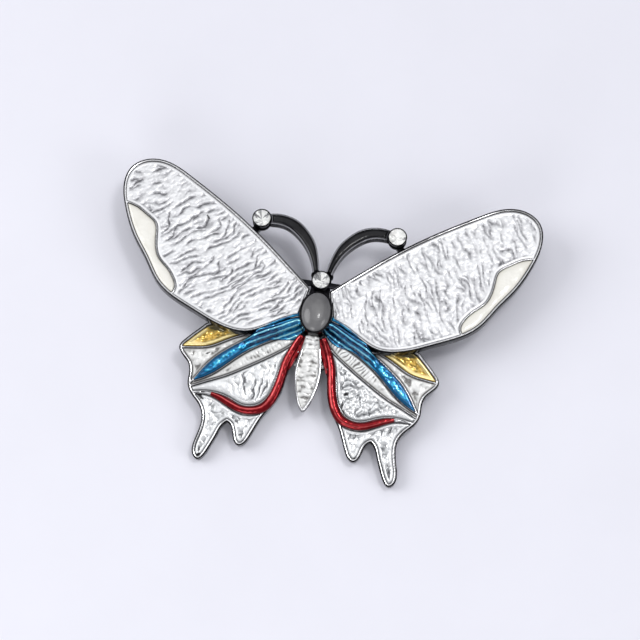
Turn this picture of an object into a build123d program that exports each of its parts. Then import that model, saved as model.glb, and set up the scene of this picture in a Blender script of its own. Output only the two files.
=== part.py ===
from build123d import *
import math
import os

# A butterfly brooch: cast wing trays filled with enamel, a cast body with a cabochon and
# crystals, and a bar on the back with a hinged pin and a locking catch.
# Millimetres. X is to the right, Y towards the head, Z out of the front.
# The brooch rests on its pin fitting and its tail ends, at Z = 0.
# Shapes are drawn for the right side about the cabochon's centre, and mirrored for the left.

CENTRE_SHIFT = 1.0          # the cabochon stands this far in front of the middle of the length

# levels of the front castings
FORE_BACK = 5.0             # back of the forewings, on the bar
FORE_THICK = 1.4
HIND_TOP = 4.95             # rim of the hindwings at their root line
HIND_THICK = 1.5
HIND_ROOT_Y = -1.0          # the line where the hindwings start to slope down
HIND_LENGTH = 21.0          # from that line to the tail ends
CELL_FLOOR = 0.6            # metal left under the enamel
RIM = 0.42                  # width of a casting's raised edge
WALL = 0.26                 # width of a wall between two cells
ENAMEL_DROP = 0.08          # flat enamel stands this far below the rim

# body
THORAX_TOP = 6.4
NECK_TOP = 5.7
NECK_X, NECK_LENGTH, NECK_Y = 2.7, 4.0, 4.2
HEAD_Y = 4.67
HEAD_POST_RADIUS = 1.0
ABDOMEN_RIM = 0.28
ABDOMEN_RISE = 0.35         # the abdomen's rim stands above the hindwings' rims
ROOT_PLATE = 0.6            # thickness of the plate that joins the wing roots from behind
ROOT_PLATE_X, ROOT_PLATE_LENGTH, ROOT_PLATE_Y = 9.6, 5.6, -4.1
ROOT_BLOCK_X = 3.2
ROOT_BLOCK_TAIL_Y = -3.0
BRIDGE_LENGTH, BRIDGE_WIDTH, BRIDGE_Y = 6.4, 0.8, 4.5

# settings and stones
BEZEL_X, BEZEL_Y = 2.28, 3.10
BEZEL_HEIGHT = 1.0
BEZEL_CLEAR = 0.15          # the abdomen's enamel stops this far from the bezel
CABOCHON_X, CABOCHON_Y = 2.02, 2.84
CABOCHON_GIRDLE = 0.5
DOME_TOP = 8.3
SEAT_FLOOR = 0.25           # metal under each stone
SEAT_GAP = 0.02             # between a stone or cup and what it stands in
CUP_RADIUS = 1.40
CUP_WALL = 0.18
CUP_HEIGHT = 1.35
CUP_BASE = 6.1
STONE_RADIUS = 1.20
STONE_CROWN = 0.45
STONE_GIRDLE = 0.12
STONE_CULET = 0.12
STONE_TABLE = 0.58          # the table's width as a share of the girdle's
GIRDLE_DROP = 0.15          # the girdle starts this far below the cup's lip

# antennae
ANTENNA_THICK = 1.3
ANTENNA_END = (9.5, 12.5)
ANTENNA_RIM = 0.2
ANTENNA_FLOOR = 0.5
ANTENNA_ENAMEL_DROP = 0.06
ANTENNA_PAD = 1.3           # radius of the pad under the end cup
LUG_SIZE = (1.0, 1.8)
LUG_OFFSET = (0.55, -1.05)  # from the end cup, towards the forewing
LUG_ANGLE = 35
LUG_BACK = 5.25
BASE_TAB_AT = (1.0, 5.75)
BASE_TAB_RADIUS = 0.55

# back bar and hinge
BAR_THICK = 0.8
BAR_WIDTH = 4.0
BAR_HALF_LENGTH = 17.6
BAR_Y = 1.75
BAR_GAP = 0.04              # between the bar and the body's root block
FOOT = 0.5                  # thickness of the plates that the hinge and the catch stand on
FOOT_LENGTH, FOOT_WIDTH = 4.0, 3.4
HINGE_X = -15.2
RIVET_RADIUS = 0.40
RIVET_HEAD_RADIUS = 0.72
RIVET_HEAD_THICK = 0.3
RUNNING_GAP = 0.03          # radial clearance of the eye on its rivet
EYE_RADIUS = 1.15
EYE_WIDTH = 1.2
EAR_THICK = 0.7
EAR_GAP = 0.05

# pin stem
PIN_RADIUS = 0.45
STEM_ROOT_RADIUS = 0.50     # the wire is a little thicker where it leaves the eye
STEM_SEAT_RADIUS = 0.40     # and a little thinner where it lies in the catch
STEM_ROOT_LENGTH = 2.3      # from the hinge axis
STEM_TAPER = 0.5
STEM_STRAIGHT_TO = 12.4
POINT_LENGTH = 4.5
POINT_RADIUS = 0.06
TIP_X = 18.6

# catch
CATCH_X = 15.2
BARREL_OUTER = 1.60
LOCK_OUTER = 1.12
LOCK_INNER = 0.66
LOCK_GAP = 0.05             # between the turning lock and its barrel
BARREL_BORE = LOCK_OUTER + LOCK_GAP
BARREL_LENGTH = 3.0
PEDESTAL_WIDTH = 1.5
MOUTH = 1.10                # width of the catch's mouth
LOCK_MOUTH = 1.04
WINDOW = 1.1                # length of the slot that the lever turns in
WINDOW_Y = 0.78             # the slot starts this far from the axis
WINDOW_TOP = 1.3
LEVER_LONG = 0.8
LEVER_WIDE = 0.7
LEVER_REACH = 2.3
LEVER_ROUND = 0.3
LEVER_ANGLE = 150           # from +Y towards +Z, with the lock open
PIN_Z = math.sqrt(BARREL_OUTER**2 - (MOUTH / 2)**2)     # the catch's lips stand at Z = 0


def smooth(points):
    return Spline(*[(x, y) for x, y in points])


def closed_shape(*runs):
    """A face bounded by smooth runs of points, each run ending where the next starts."""
    return make_face([smooth(run) if len(run) > 2 else Line(*run) for run in runs])


def band(points, width):
    """A strip of constant width along a smooth line."""
    sides = ([], [])
    last = len(points) - 1
    for i, (x, y) in enumerate(points):
        x0, y0 = points[max(i - 1, 0)]
        x1, y1 = points[min(i + 1, last)]
        length = math.hypot(x1 - x0, y1 - y0)
        nx, ny = (y0 - y1) / length, (x1 - x0) / length
        for side, sign in zip(sides, (1, -1)):
            side.append((x + sign * nx * width / 2, y + sign * ny * width / 2))
    left, right = sides
    return closed_shape(left, [left[-1], right[-1]], right[::-1], [right[0], left[0]])


def inset(face, runs, amount):
    """The face less a strip along each run of its edge."""
    for run in runs:
        face = face - band(run, 2 * amount)
        for end in (run[0], run[-1]):
            face = face - Pos(*end) * Circle(amount)
    return face


def cell_at(cells, x, y):
    """The one of the cut faces that holds the point."""
    return min(cells, key=lambda face: face.distance_to(Vertex(x, y, 0)))


def largest(sketch):
    return sketch.faces().sort_by(SortBy.AREA)[-1]


def slab(face, low, high):
    return extrude(Pos(0, 0, low) * face, high - low, dir=(0, 0, 1))


def mirrored(shape):
    return mirror(shape, about=Plane.YZ)


# ---------------------------------------------------------------- forewings
FORE_OUTLINE = [
    (1.4, 3.5), (3.2, 5.1), (6.2, 7.7), (10.0, 10.8), (15.1, 14.4), (20.3, 17.6), (24.2, 19.35),
    (26.9, 19.2), (28.9, 17.7), (29.5, 15.1), (28.7, 11.7), (26.6, 7.4), (24.6, 4.6), (22.4, 1.4),
    (20.2, -0.3), (17.2, -1.75), (14.2, -3.1), (11.6, -3.9), (9.3, -4.0), (6.4, -2.75), (2.2, -0.6),
]
FORE_ROOT = [FORE_OUTLINE[-1], FORE_OUTLINE[0]]
INLAY_LINE = [
    (30.2, 12.9), (28.6, 12.5), (26.9, 12.0), (25.3, 11.0), (24.0, 9.9), (23.65, 8.3), (23.4, 6.6),
    (22.7, 5.0), (21.4, 3.75), (20.3, 2.4), (19.8, 0.9), (20.2, -0.1), (21.0, -1.6),
]
IN_SILVER_CELL = (15, 6)
IN_IVORY_CELL = (25.5, 7.5)

fore_face = closed_shape(FORE_OUTLINE, FORE_ROOT)
fore_inside = inset(fore_face, [FORE_OUTLINE, FORE_ROOT], RIM)
fore_cells = (fore_inside - band(INLAY_LINE, WALL)).faces()
silver_cell = cell_at(fore_cells, *IN_SILVER_CELL)
ivory_cell = cell_at(fore_cells, *IN_IVORY_CELL)

# ---------------------------------------------------------------- hindwings, drawn flat
HIND_OUTER = [
    (15.0, -3.1), (16.3, -4.4), (17.4, -5.55), (18.05, -6.65), (17.5, -7.7), (16.5, -8.8),
    (16.15, -10.1), (16.15, -11.4), (15.55, -12.8), (14.4, -14.0), (13.6, -15.4), (13.5, -16.9),
    (13.9, -18.8), (14.15, -20.3), (13.8, -21.4), (13.15, -21.75), (12.45, -21.2), (11.8, -19.9),
    (11.1, -18.2), (10.5, -16.7), (9.95, -16.1),
]
HIND_INNER = [
    (9.95, -16.1), (9.45, -16.45), (9.0, -17.5), (8.6, -18.6), (7.95, -19.1), (7.25, -18.8),
    (6.6, -17.8), (5.9, -16.1), (5.2, -14.6), (4.3, -13.2), (3.5, -11.8), (3.05, -10.2),
    (2.85, -8.7), (2.45, -7.2), (1.5, -5.2),
]
HIND_UPPER = [(1.2, -0.6), (2.5, -0.75), (5.0, -1.9), (7.3, -2.95), (8.7, -3.5)]
HIND_HIDDEN = [(8.7, -3.5), (10.5, -3.2), (13.0, -2.5), (15.0, -3.1)]

GOLD_LINE = [(7.6, -2.6), (9.0, -3.6), (10.3, -4.2), (12.3, -5.3), (14.0, -6.15), (15.7, -6.5),
             (17.3, -6.7), (19.0, -6.9)]
BLUE_UPPER = [(0.6, 0.3), (2.6, -0.95), (5.0, -2.15), (7.3, -3.3), (9.4, -4.6), (11.3, -6.0),
              (13.2, -7.7), (14.7, -9.7), (15.6, -11.2), (16.9, -13.0)]
BLUE_LOWER = [(0.6, -1.0), (2.0, -2.1), (3.7, -3.2), (5.4, -4.0), (7.4, -5.15), (9.2, -6.45),
              (10.7, -7.8), (12.3, -9.3), (14.0, -10.5), (15.4, -11.15), (17.2, -11.6)]
PALE_LOWER = [(0.4, -2.2), (1.9, -3.4), (2.9, -4.4), (4.5, -5.65), (6.8, -7.2), (9.2, -8.7),
              (11.8, -10.15), (13.3, -10.8), (15.0, -11.6), (17.0, -12.4)]
RED_INNER = [(0.4, -2.4), (1.5, -3.1), (2.6, -4.5), (3.3, -5.8), (3.75, -7.2), (4.1, -8.9),
             (4.5, -10.8), (5.1, -12.1), (6.1, -13.1), (7.3, -13.5), (8.4, -13.45), (9.6, -13.0),
             (11.0, -12.5), (12.8, -12.3), (14.6, -12.5), (16.6, -13.1)]
RED_OUTER = [(3.0, -12.3), (4.3, -13.4), (5.5, -14.2), (7.0, -14.65), (8.4, -14.65), (9.9, -14.1),
             (11.2, -13.4), (12.6, -12.85), (14.6, -12.7), (16.6, -13.2)]

hind_face = closed_shape(
    HIND_OUTER, HIND_INNER, [HIND_INNER[-1], HIND_UPPER[0]], HIND_UPPER, HIND_HIDDEN)
hind_inside = inset(hind_face, [HIND_OUTER, HIND_INNER, HIND_UPPER, HIND_HIDDEN], RIM)
for line in (GOLD_LINE, BLUE_UPPER, BLUE_LOWER, PALE_LOWER, RED_INNER, RED_OUTER):
    hind_inside = hind_inside - band(line, WALL)
hind_cells = hind_inside.faces()

# each cell: a point inside it, and how far its enamel stands above the casting's rim
CELLS = {
    "gold_leaf": ((14.5, -5.0), 0.05),
    "upper_cell": ((14.5, -8.0), -ENAMEL_DROP),
    "blue_leaf": ((9.0, -5.5), 0.55),
    "pale_leaf": ((9.5, -8.0), -ENAMEL_DROP),
    "silver_fan": ((7.5, -10.5), -ENAMEL_DROP),
    "red_vein": ((3.6, -9.5), 0.50),
    "tail_enamel": ((11.0, -15.5), -ENAMEL_DROP),
}

# ---------------------------------------------------------------- slope of the hindwings
hind_drop = HIND_TOP - HIND_THICK
slope = math.degrees(math.asin(hind_drop / HIND_LENGTH))
SLOPED = Pos(0, HIND_ROOT_Y, HIND_TOP) * Rot(X=slope) * Pos(0, -HIND_ROOT_Y, 0)

# ---------------------------------------------------------------- body
ABDOMEN_SIDE = [(0.8, -2.4), (1.05, -3.4), (1.4, -4.9), (1.68, -6.4), (1.75, -8.0), (1.55, -9.75),
                (1.1, -11.4), (0.5, -12.7)]
ABDOMEN = ABDOMEN_SIDE + [(0, -13.15)] + [(-x, y) for x, y in ABDOMEN_SIDE[::-1]]

abdomen_face = closed_shape(ABDOMEN, [ABDOMEN[-1], ABDOMEN[0]])
abdomen_cell = inset(abdomen_face, [ABDOMEN], ABDOMEN_RIM)
abdomen_cell = largest(abdomen_cell - Ellipse(BEZEL_X + BEZEL_CLEAR, BEZEL_Y + BEZEL_CLEAR))

thorax = slab(Ellipse(BEZEL_X, BEZEL_Y), FORE_BACK, THORAX_TOP)
block_head_y = BAR_Y - BAR_WIDTH / 2 - BAR_GAP
block_back = HIND_TOP - HIND_THICK - ROOT_PLATE
block_length = block_head_y - ROOT_BLOCK_TAIL_Y
block_place = Pos(0, (block_head_y + ROOT_BLOCK_TAIL_Y) / 2, (block_back + FORE_BACK) / 2)
root_block = block_place * Box(ROOT_BLOCK_X, block_length, FORE_BACK - block_back)
neck = slab(Pos(0, NECK_Y) * RectangleRounded(NECK_X, NECK_LENGTH, 1.0), FORE_BACK, NECK_TOP)
head_post = slab(Pos(0, HEAD_Y) * Circle(HEAD_POST_RADIUS), NECK_TOP, CUP_BASE)
abdomen = SLOPED * slab(abdomen_face, -HIND_THICK, ABDOMEN_RISE)
abdomen_pocket = SLOPED * slab(abdomen_cell, -HIND_THICK + CELL_FLOOR, ABDOMEN_RISE + 1)
plate_outline = Pos(0, ROOT_PLATE_Y) * RectangleRounded(ROOT_PLATE_X, ROOT_PLATE_LENGTH, 1.5)
root_plate = SLOPED * slab(plate_outline, -HIND_THICK - ROOT_PLATE, -HIND_THICK)
bridge_middle = Pos(0, BRIDGE_Y, (NECK_TOP + CUP_BASE) / 2)
bridge = bridge_middle * Box(BRIDGE_LENGTH, BRIDGE_WIDTH, CUP_BASE - NECK_TOP)
body = thorax + root_block + neck + head_post - bridge + (abdomen - abdomen_pocket) + root_plate
above_body = slab(Ellipse(BEZEL_X + SEAT_GAP, BEZEL_Y + SEAT_GAP), 0.6 * FORE_BACK, DOME_TOP + 1)

nodes = {"body_casting": body}
nodes["abdomen_enamel"] = SLOPED * slab(
    abdomen_cell, -HIND_THICK + CELL_FLOOR, ABDOMEN_RISE - ENAMEL_DROP)

# ---------------------------------------------------------------- wings
fore_top = FORE_BACK + FORE_THICK
fore_whole = slab(fore_face, FORE_BACK, fore_top)
fore_parts = {
    "": fore_whole,
    "_silver_enamel": slab(silver_cell, FORE_BACK + CELL_FLOOR, fore_top - ENAMEL_DROP),
    "_ivory_inlay": slab(ivory_cell, FORE_BACK + CELL_FLOOR, fore_top - ENAMEL_DROP),
}
for cell in (silver_cell, ivory_cell):
    fore_parts[""] = fore_parts[""] - slab(cell, FORE_BACK + CELL_FLOOR, fore_top + 1)
for name, shape in fore_parts.items():
    right = shape - body - above_body
    nodes["forewing_right" + name] = right
    nodes["forewing_left" + name] = mirrored(right)

hind_parts = {"": slab(hind_face, -HIND_THICK, 0)}
for name, ((x, y), rise) in CELLS.items():
    cell = cell_at(hind_cells, x, y)
    hind_parts[""] = hind_parts[""] - slab(cell, -HIND_THICK + CELL_FLOOR, 1)
    hind_parts["_" + name] = slab(cell, -HIND_THICK + CELL_FLOOR, rise)
for name, shape in hind_parts.items():
    right = (SLOPED * shape) - body - above_body
    nodes["hindwing_right" + name] = right
    nodes["hindwing_left" + name] = mirrored(right)

# ---------------------------------------------------------------- bezel, cabochon, cups, stones
stone_level = THORAX_TOP + SEAT_FLOOR
bezel = slab(Ellipse(BEZEL_X, BEZEL_Y), THORAX_TOP, THORAX_TOP + BEZEL_HEIGHT)
seat = slab(Ellipse(CABOCHON_X + SEAT_GAP, CABOCHON_Y + SEAT_GAP), stone_level, DOME_TOP)
nodes["cabochon_bezel"] = bezel - seat
girdle_top = stone_level + CABOCHON_GIRDLE
stone_base = slab(Ellipse(CABOCHON_X, CABOCHON_Y), stone_level, girdle_top)
ball = scale(Sphere(1.0), by=(CABOCHON_X, CABOCHON_Y, DOME_TOP - girdle_top))
above_girdle = slab(Ellipse(CABOCHON_X + 1, CABOCHON_Y + 1), girdle_top, DOME_TOP + 1)
nodes["cabochon"] = stone_base + (Pos(0, 0, girdle_top) * ball & above_girdle)


def stone_cup():
    """A pressed cup, open at the top, with a floor."""
    outside = slab(Circle(CUP_RADIUS), 0, CUP_HEIGHT)
    hollow = slab(Circle(CUP_RADIUS - CUP_WALL), SEAT_FLOOR, CUP_HEIGHT + 1)
    return outside - hollow


def faceted_stone():
    """A chaton: a cone pavilion below the girdle, a flat-topped crown above it."""
    pavilion = CUP_HEIGHT - SEAT_FLOOR - GIRDLE_DROP
    crown = pavilion + STONE_GIRDLE
    table = crown + STONE_CROWN
    profile = make_face(Polyline(
        (0, 0), (STONE_CULET, 0), (STONE_RADIUS, pavilion), (STONE_RADIUS, crown),
        (STONE_RADIUS * STONE_TABLE, table), (0, table), close=True))
    return revolve(Plane.XZ * profile, Axis.Z)


def disc(x, y, radius):
    return Pos(x, y) * Circle(radius)


nodes["head_cup"] = Pos(0, HEAD_Y, CUP_BASE) * stone_cup()
nodes["head_stone"] = Pos(0, HEAD_Y, CUP_BASE + SEAT_FLOOR) * faceted_stone()

# ---------------------------------------------------------------- antennae and bridge
ANTENNA_OUTER = [(0.5, 6.3), (1.1, 8.8), (1.75, 10.3), (2.75, 11.6), (4.2, 12.85), (5.9, 13.5),
                 (7.4, 13.6), (8.6, 13.4)]
ANTENNA_INNER = [(8.3, 11.95), (7.2, 12.0), (6.0, 11.8), (4.8, 11.15), (3.6, 10.1), (2.7, 9.0),
                 (2.0, 7.75), (1.35, 5.7)]
antenna_face = closed_shape(ANTENNA_OUTER, [ANTENNA_OUTER[-1], ANTENNA_INNER[0]], ANTENNA_INNER,
                            [ANTENNA_INNER[-1], ANTENNA_OUTER[0]])
end_x, end_y = ANTENNA_END
beside_head = disc(0, HEAD_Y, CUP_RADIUS + SEAT_GAP)
antenna_cell = inset(antenna_face, [ANTENNA_OUTER, ANTENNA_INNER], ANTENNA_RIM)
antenna_cell = antenna_cell - disc(end_x, end_y, CUP_RADIUS + 0.12)
antenna_cell = largest(antenna_cell - disc(0, HEAD_Y, CUP_RADIUS + ANTENNA_RIM))
antenna_top = NECK_TOP + ANTENNA_THICK
arm = slab(antenna_face - beside_head, NECK_TOP, antenna_top)
arm = arm - slab(antenna_cell, NECK_TOP + ANTENNA_FLOOR, antenna_top + 1)
arm = arm - slab(disc(end_x, end_y, CUP_RADIUS + SEAT_GAP), CUP_BASE, antenna_top + 1)
arm = arm + slab(disc(end_x, end_y, ANTENNA_PAD), NECK_TOP, CUP_BASE)
lug_outline = Pos(end_x + LUG_OFFSET[0], end_y + LUG_OFFSET[1]) * Rot(Z=LUG_ANGLE) * Rectangle(*LUG_SIZE)
arm = arm + slab(lug_outline, LUG_BACK, CUP_BASE)
arm = arm + slab(disc(*BASE_TAB_AT, BASE_TAB_RADIUS), NECK_TOP, CUP_BASE)
above_head = slab(disc(0, HEAD_Y, CUP_RADIUS + SEAT_GAP), CUP_BASE, DOME_TOP + 1)
arm = arm - head_post - above_head - fore_whole
antenna_parts = {
    "": arm,
    "_enamel": slab(antenna_cell, NECK_TOP + ANTENNA_FLOOR, antenna_top - ANTENNA_ENAMEL_DROP),
    "_cup": Pos(end_x, end_y, CUP_BASE) * stone_cup(),
    "_stone": Pos(end_x, end_y, CUP_BASE + SEAT_FLOOR) * faceted_stone(),
}
for name, shape in antenna_parts.items():
    nodes["antenna_right" + name] = shape
    nodes["antenna_left" + name] = mirrored(shape)

nodes["wing_bridge"] = bridge - fore_whole - mirrored(fore_whole)

# ---------------------------------------------------------------- back bar and hinge
bar_back = FORE_BACK - BAR_THICK
foot_level = bar_back - FOOT
bar_outline = Pos(0, BAR_Y) * RectangleRounded(2 * BAR_HALF_LENGTH, BAR_WIDTH, BAR_WIDTH / 2 - 0.05)
nodes["back_bar"] = slab(bar_outline, bar_back, FORE_BACK)

AT_HINGE = Pos(HINGE_X, BAR_Y, PIN_Z)
AT_CATCH = Pos(CATCH_X, BAR_Y, PIN_Z)


def along_y(radius, length):
    return Rot(X=90) * Cylinder(radius, length)


def along_x(outer, inner, length):
    """A tube along X, centred on the origin."""
    return Rot(Y=90) * (Cylinder(outer, length) - Cylinder(inner, length + 1))


def upright(width_x, width_y, low, high):
    """A block from one height above the pin's axis to another, over the origin."""
    return Pos(0, 0, (low + high) / 2) * Box(width_x, width_y, high - low)


foot = upright(FOOT_LENGTH, FOOT_WIDTH, foot_level - PIN_Z, bar_back - PIN_Z)
ear = along_y(PIN_Z, EAR_THICK) + upright(2 * PIN_Z, EAR_THICK, 0, foot_level - PIN_Z)
ear = ear - along_y(RIVET_RADIUS, EAR_THICK + 1)
ear_y = EYE_WIDTH / 2 + EAR_GAP + EAR_THICK / 2
ears = Pos(0, ear_y, 0) * ear + Pos(0, -ear_y, 0) * ear
nodes["pin_hinge_bracket"] = AT_HINGE * (foot + ears)

rivet = along_y(RIVET_RADIUS, 2 * ear_y + EAR_THICK + 2 * RIVET_HEAD_THICK)
head_y = ear_y + (EAR_THICK + RIVET_HEAD_THICK) / 2
rivet_head = Pos(0, head_y, 0) * along_y(RIVET_HEAD_RADIUS, RIVET_HEAD_THICK)
rivet = rivet + rivet_head + mirror(rivet_head, about=Plane.XZ)
nodes["pin_hinge_rivet"] = AT_HINGE * rivet

# ---------------------------------------------------------------- pin stem
straight_from = STEM_ROOT_LENGTH + STEM_TAPER
straight_to = STEM_STRAIGHT_TO - HINGE_X
point_from = TIP_X - POINT_LENGTH - HINGE_X
tip = TIP_X - HINGE_X
stem_profile = make_face(Polyline(
    (0, 0), (STEM_ROOT_RADIUS, 0), (STEM_ROOT_RADIUS, STEM_ROOT_LENGTH), (PIN_RADIUS, straight_from),
    (PIN_RADIUS, straight_to), (STEM_SEAT_RADIUS, straight_to + STEM_TAPER),
    (STEM_SEAT_RADIUS, point_from), (POINT_RADIUS, tip), (0, tip), close=True))
wire = Rot(Y=90) * revolve(Plane.XZ * stem_profile, Axis.Z)
stem = along_y(EYE_RADIUS, EYE_WIDTH) + wire
stem = stem - along_y(RIVET_RADIUS + RUNNING_GAP, EYE_WIDTH + 1)
nodes["pin_stem"] = AT_HINGE * stem

# ---------------------------------------------------------------- catch
barrel = along_x(BARREL_OUTER, BARREL_BORE, BARREL_LENGTH)
pedestal = upright(BARREL_LENGTH, PEDESTAL_WIDTH, BARREL_BORE + 0.1, foot_level - PIN_Z)
mouth = upright(BARREL_LENGTH + 1, MOUTH, -2 * BARREL_OUTER, 0)
window = upright(WINDOW, 2 * BARREL_OUTER, -2 * BARREL_OUTER, WINDOW_TOP)
window = Pos(0, -WINDOW_Y - BARREL_OUTER, 0) * window
nodes["catch_barrel"] = AT_CATCH * (barrel + pedestal + foot - mouth - window)

lock = along_x(LOCK_OUTER, LOCK_INNER, BARREL_LENGTH)
lock = lock - upright(BARREL_LENGTH + 1, LOCK_MOUTH, -2 * LOCK_OUTER, 0)
lever_from = (LOCK_INNER + LOCK_OUTER) / 2
lever_length = LEVER_REACH - lever_from
lever = Pos(0, lever_from + lever_length / 2, 0) * Box(LEVER_LONG, lever_length, LEVER_WIDE)
lever = fillet(lever.edges().filter_by(Axis.X).group_by(Axis.Y)[-1], LEVER_ROUND)
nodes["catch_lock"] = AT_CATCH * (lock + Rot(X=LEVER_ANGLE) * lever)


def one_piece(name, shape):
    """The shape's largest solid: cuts can leave crumbs beside it, and anything bigger is told."""
    solids = shape.solids().sort_by(SortBy.VOLUME)
    dropped = sum(solid.volume for solid in solids[:-1])
    if dropped > 0.005:
        print("dropped beside", name, round(dropped, 4), "mm3")
    return solids[-1]


os.makedirs("parts", exist_ok=True)
for name, shape in nodes.items():
    piece = Pos(0, CENTRE_SHIFT, 0) * one_piece(name, shape)
    export_step(piece, f"parts/{name}.step")

print("nodes", len(nodes), "slope", round(slope, 3))
print("hinge axis at", HINGE_X, BAR_Y + CENTRE_SHIFT, round(PIN_Z, 4))
print("lock axis at", CATCH_X, BAR_Y + CENTRE_SHIFT, round(PIN_Z, 4))
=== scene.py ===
import math

import bmesh
import bpy
import numpy as np
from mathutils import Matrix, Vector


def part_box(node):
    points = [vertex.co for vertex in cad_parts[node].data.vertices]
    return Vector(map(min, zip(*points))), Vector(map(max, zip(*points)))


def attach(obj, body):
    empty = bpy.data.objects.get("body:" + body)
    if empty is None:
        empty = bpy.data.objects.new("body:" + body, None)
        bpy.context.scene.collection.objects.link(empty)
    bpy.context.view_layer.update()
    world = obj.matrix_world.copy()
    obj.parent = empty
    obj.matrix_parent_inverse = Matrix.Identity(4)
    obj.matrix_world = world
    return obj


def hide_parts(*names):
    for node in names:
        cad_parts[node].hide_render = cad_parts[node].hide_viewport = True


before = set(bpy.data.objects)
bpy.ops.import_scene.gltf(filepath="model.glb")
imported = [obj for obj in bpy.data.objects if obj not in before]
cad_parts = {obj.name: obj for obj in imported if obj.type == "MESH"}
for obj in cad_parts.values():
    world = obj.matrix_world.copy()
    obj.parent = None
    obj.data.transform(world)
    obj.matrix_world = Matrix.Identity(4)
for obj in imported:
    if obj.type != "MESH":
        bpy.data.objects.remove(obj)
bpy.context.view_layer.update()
mm = 0.001
print("frame loaded:", len(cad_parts), "CAD nodes")


noisePeriod = 64      # the surface noise repeats after this many steps


def softNoise(x, y, seed):
    # gradient noise: a random slope at each whole-number point, blended by 6t^5 - 15t^4 + 10t^3
    angle = np.random.default_rng(seed).random((noisePeriod, noisePeriod)) * 2 * np.pi
    i, j = np.floor(x).astype(int), np.floor(y).astype(int)
    fx, fy = x - i, y - j
    sx, sy = (t**3 * (t * (6 * t - 15) + 10) for t in (fx, fy))

    def corner(a, b):
        turn = angle[(i + a) % noisePeriod, (j + b) % noisePeriod]
        return np.cos(turn) * (fx - a) + np.sin(turn) * (fy - b)

    low = corner(0, 0) * (1 - sx) + corner(1, 0) * sx
    high = corner(0, 1) * (1 - sx) + corner(1, 1) * sx
    return 1.5 * (low * (1 - sy) + high * sy)


def layeredNoise(x, y, seed, layers=3):
    # each layer is twice as fine and half as strong as the one before
    return sum(softNoise(x * 2**n, y * 2**n, seed + n) / 2**n for n in range(layers))


def ease(low, high, value):
    # 0 below low, 1 above high, and a smooth step 3t^2 - 2t^3 between
    t = np.clip((value - low) / (high - low), 0, 1)
    return t * t * (3 - 2 * t)


def pillow(depth, reach):
    # a quarter circle up from the edge, then level
    return np.sqrt(1 - (1 - np.clip(depth / reach, 0, 1)) ** 2)


def ridges(phase, power):
    # a sine folded at nought: broad backs between narrow creases, one for each whole number
    return np.abs(np.sin(np.pi * phase)) ** power


def turned(x, y, degrees):
    # how far each point lies along a direction, and across it
    c, s = math.cos(math.radians(degrees)), math.sin(math.radians(degrees))
    return x * c + y * s, y * c - x * s


def chipShade(x, y, chips):
    # 1 inside small long marks where the enamel has flaked off: each is a place, a direction,
    # a length and a width, with a ragged edge
    shade = np.zeros(np.shape(x))
    for atX, atY, degrees, length, width in chips:
        along, across = turned(x - atX, y - atY, degrees)
        ragged = 1 + 0.35 * softNoise(x * 3.1, y * 3.1, 201)
        reach = 2 * ragged * np.hypot(along / length, across / width)
        shade = np.maximum(shade, ease(1.15, 0.85, reach))
    return shade


# bright and dark: the painted highlight on the bead and the painted shade in the groove
beadLook = {"place": 0.32, "width": 0.12, "groove": 0.14, "height": 0.04, "bright": 0.08,
            "dark": 0.55}


def meniscus(depth, strength=1.0):
    # how high enamel stands along its edge, and its painted tone there: a bell-shaped bead a little
    # way in, with a painted highlight, less a bell-shaped groove at the edge itself, with painted
    # shade
    look = beadLook
    bead = np.exp(-((depth - look["place"]) / look["width"]) ** 2)
    groove = np.exp(-((depth / look["groove"]) ** 2))
    # painted tone: highlight on the bead, shade in the groove
    tone = look["bright"] * bead - look["dark"] * groove
    return strength * look["height"] * (bead - groove), strength * tone


def readNode(name):
    # a node's corners in millimetres, merged, and its triangles
    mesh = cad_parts[name].data
    corners = np.empty(len(mesh.vertices) * 3, np.float32)
    mesh.vertices.foreach_get("co", corners)
    triangles = np.empty(len(mesh.polygons) * 3, np.int32)
    mesh.polygons.foreach_get("vertices", triangles)
    points = corners.reshape(-1, 3).astype(float) / mm
    _, first, place = np.unique(np.round(points, 3), axis=0, return_index=True, return_inverse=True)
    return points[first], place.ravel()[triangles].reshape(-1, 3)


def flatTop(name):
    # the plane of a node's top face, and the edges of that face drawn in the plane
    points, triangles = readNode(name)
    a, b, c = (points[triangles[:, k]] for k in range(3))
    normal = np.cross(b - a, c - a)
    area = np.linalg.norm(normal, axis=1)
    normal = normal / np.maximum(area, 1e-12)[:, None]
    facing = (normal[:, 2] > 0.9) & (area > 1e-9)
    up = (normal[facing] * area[facing, None]).sum(0)
    up = up / np.linalg.norm(up)
    height = points @ up
    middle = height[triangles].mean(1)
    top = facing & (middle > middle[facing].max() - 0.05)
    east = np.array([1.0, 0, 0])
    north = np.cross(up, east)
    edges = triangles[top][:, [0, 1, 1, 2, 2, 0]].reshape(-1, 2)
    pairs, seen = np.unique(np.sort(edges, axis=1), axis=0, return_counts=True)
    flat = np.column_stack([points @ east, points @ north])
    return {"up": up, "east": east, "north": north, "level": middle[top].max(),
            "starts": flat[pairs[seen == 1, 0]], "ends": flat[pairs[seen == 1, 1]]}


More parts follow.
